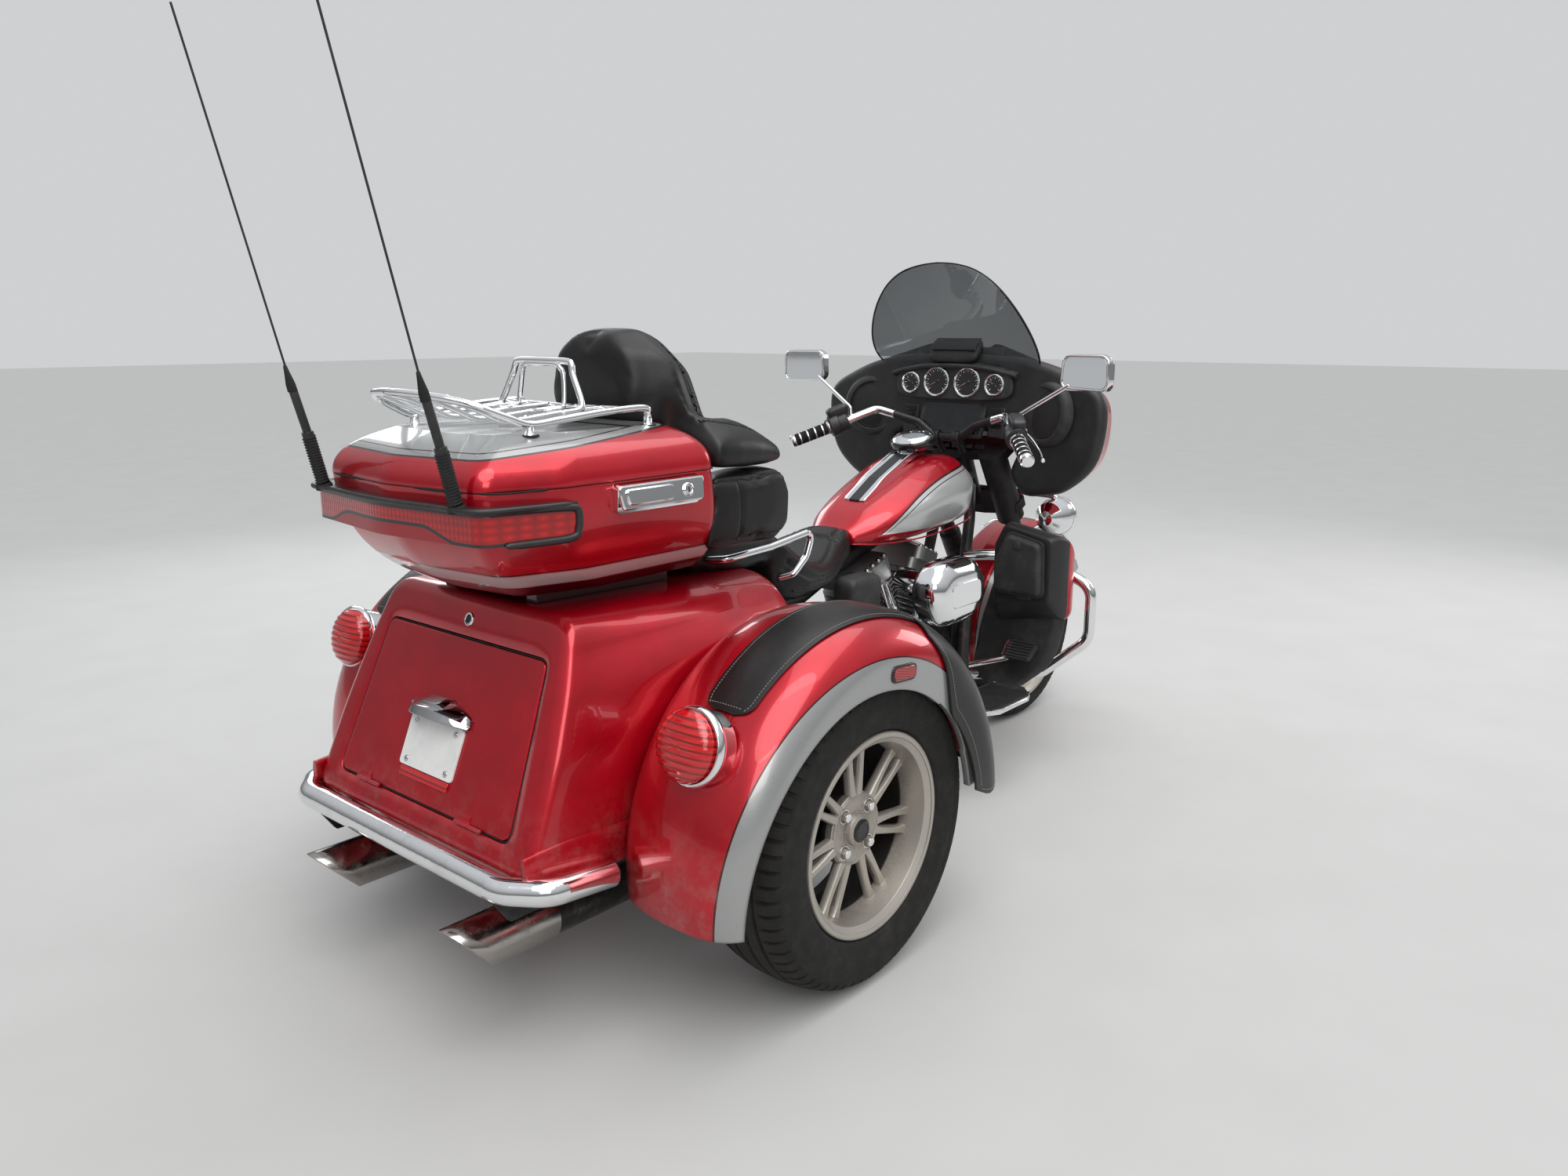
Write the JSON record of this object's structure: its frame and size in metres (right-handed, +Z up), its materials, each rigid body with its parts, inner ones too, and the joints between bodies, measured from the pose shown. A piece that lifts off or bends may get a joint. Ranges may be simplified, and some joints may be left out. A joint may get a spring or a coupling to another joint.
{
  "type": "motorized trike",
  "caption": "Touring three-wheeler with a raked fork and fairing, twin-cylinder engine, twin rear wheels under wide fenders, trunk, padded top box, opening lids and turning wheels.",
  "frame": {"origin": "on the floor, under the middle of the whole, antennas included", "axes": "+X forward, +Y to the rider's left, +Z up"},
  "size_m": [2.8015, 1.396, 1.8154],
  "materials": {
    "tyre": "worn matt rubber",
    "rim": "satin cast, dusty in the barrel",
    "paint": "metallic gloss red",
    "chrome": "bright",
    "black_metal": "satin black",
    "black_plastic": "fine grain",
    "leather": "black, stitched",
    "screen": "clear, lightly smoked",
    "engine": "cast, satin",
    "fins": "black-coated fins with bright edges",
    "lens": "ribbed red lens",
    "plate": "blank white",
    "rubber": "ribbed",
    "mast": "satin"
  },
  "bodies": {
    "chassis": {"frame": "black_metal", "rear_axle": "black_metal", "engine": "engine", "cylinders": "fins", "air_cleaner": "chrome", "exhaust": "chrome", "fuel_tank": "paint", "console": "chrome", "seat": "leather", "grab_rails": "chrome", "body_shell": "paint", "rear_fenders": "paint", "fender_covers": "leather", "fender_lamps": "lens", "bumper": "chrome", "box_base": "paint", "box_lamp": "lens", "antennas": "mast", "arm_pads": "leather", "box_latch": "chrome", "lower_fairings": "black_plastic", "engine_guard": "chrome", "floorboards": "rubber"},
    "steering": {"fork": "black_metal", "front_fender": "paint", "fairing": "paint", "dash": "black_plastic", "windshield": "screen", "front_lamps": "chrome", "handlebar": "chrome", "grips": "rubber", "mirrors": "chrome"},
    "front_wheel": {"front_tyre": "tyre", "front_rim": "rim"},
    "rear_wheel_right": {"rear_tyre_right": "tyre", "rear_rim_right": "rim"},
    "rear_wheel_left": {"rear_tyre_left": "tyre", "rear_rim_left": "rim"},
    "box_lid": {"box_lid": "paint", "luggage_rack": "chrome", "backrest": "leather"},
    "trunk_door": {"trunk_door": "paint", "number_plate": "plate"},
    "glove_lid_right": {"glove_lid_right": "black_plastic"},
    "glove_lid_left": {"glove_lid_left": "black_plastic"}
  },
  "joints": [
    {"name": "steer", "type": "hinge", "parent": "chassis", "child": "steering", "pos_m": [0.75643, 0, 0.85], "axis": [-0.4384, 0, 0.8988], "range_deg": [-28, 28]},
    {"name": "front_wheel_spin", "type": "hinge", "parent": "steering", "child": "front_wheel", "pos_m": [1.071, 0, 0.319], "axis": [0, 1, 0], "continuous": true},
    {"name": "rear_wheel_right_spin", "type": "hinge", "parent": "chassis", "child": "rear_wheel_right", "pos_m": [-0.599, -0.566, 0.322], "axis": [0, 1, 0], "continuous": true},
    {"name": "rear_wheel_left_spin", "type": "hinge", "parent": "chassis", "child": "rear_wheel_left", "pos_m": [-0.599, 0.566, 0.322], "axis": [0, 1, 0], "continuous": true},
    {"name": "box_lid_hinge", "type": "hinge", "parent": "chassis", "child": "box_lid", "pos_m": [-0.899, 0.3, 1.01], "axis": [-1, 0, 0], "range_deg": [0, 80]},
    {"name": "trunk_door_hinge", "type": "hinge", "parent": "chassis", "child": "trunk_door", "pos_m": [-1.19321, 0, 0.40072], "axis": [0, -1, 0], "range_deg": [0, 85]},
    {"name": "glove_lid_right_hinge", "type": "hinge", "parent": "chassis", "child": "glove_lid_right", "pos_m": [0.573, -0.3, 0.538], "axis": [0, -1, 0], "range_deg": [0, 45]},
    {"name": "glove_lid_left_hinge", "type": "hinge", "parent": "chassis", "child": "glove_lid_left", "pos_m": [0.573, 0.3, 0.538], "axis": [0, -1, 0], "range_deg": [0, 45]}
  ]
}
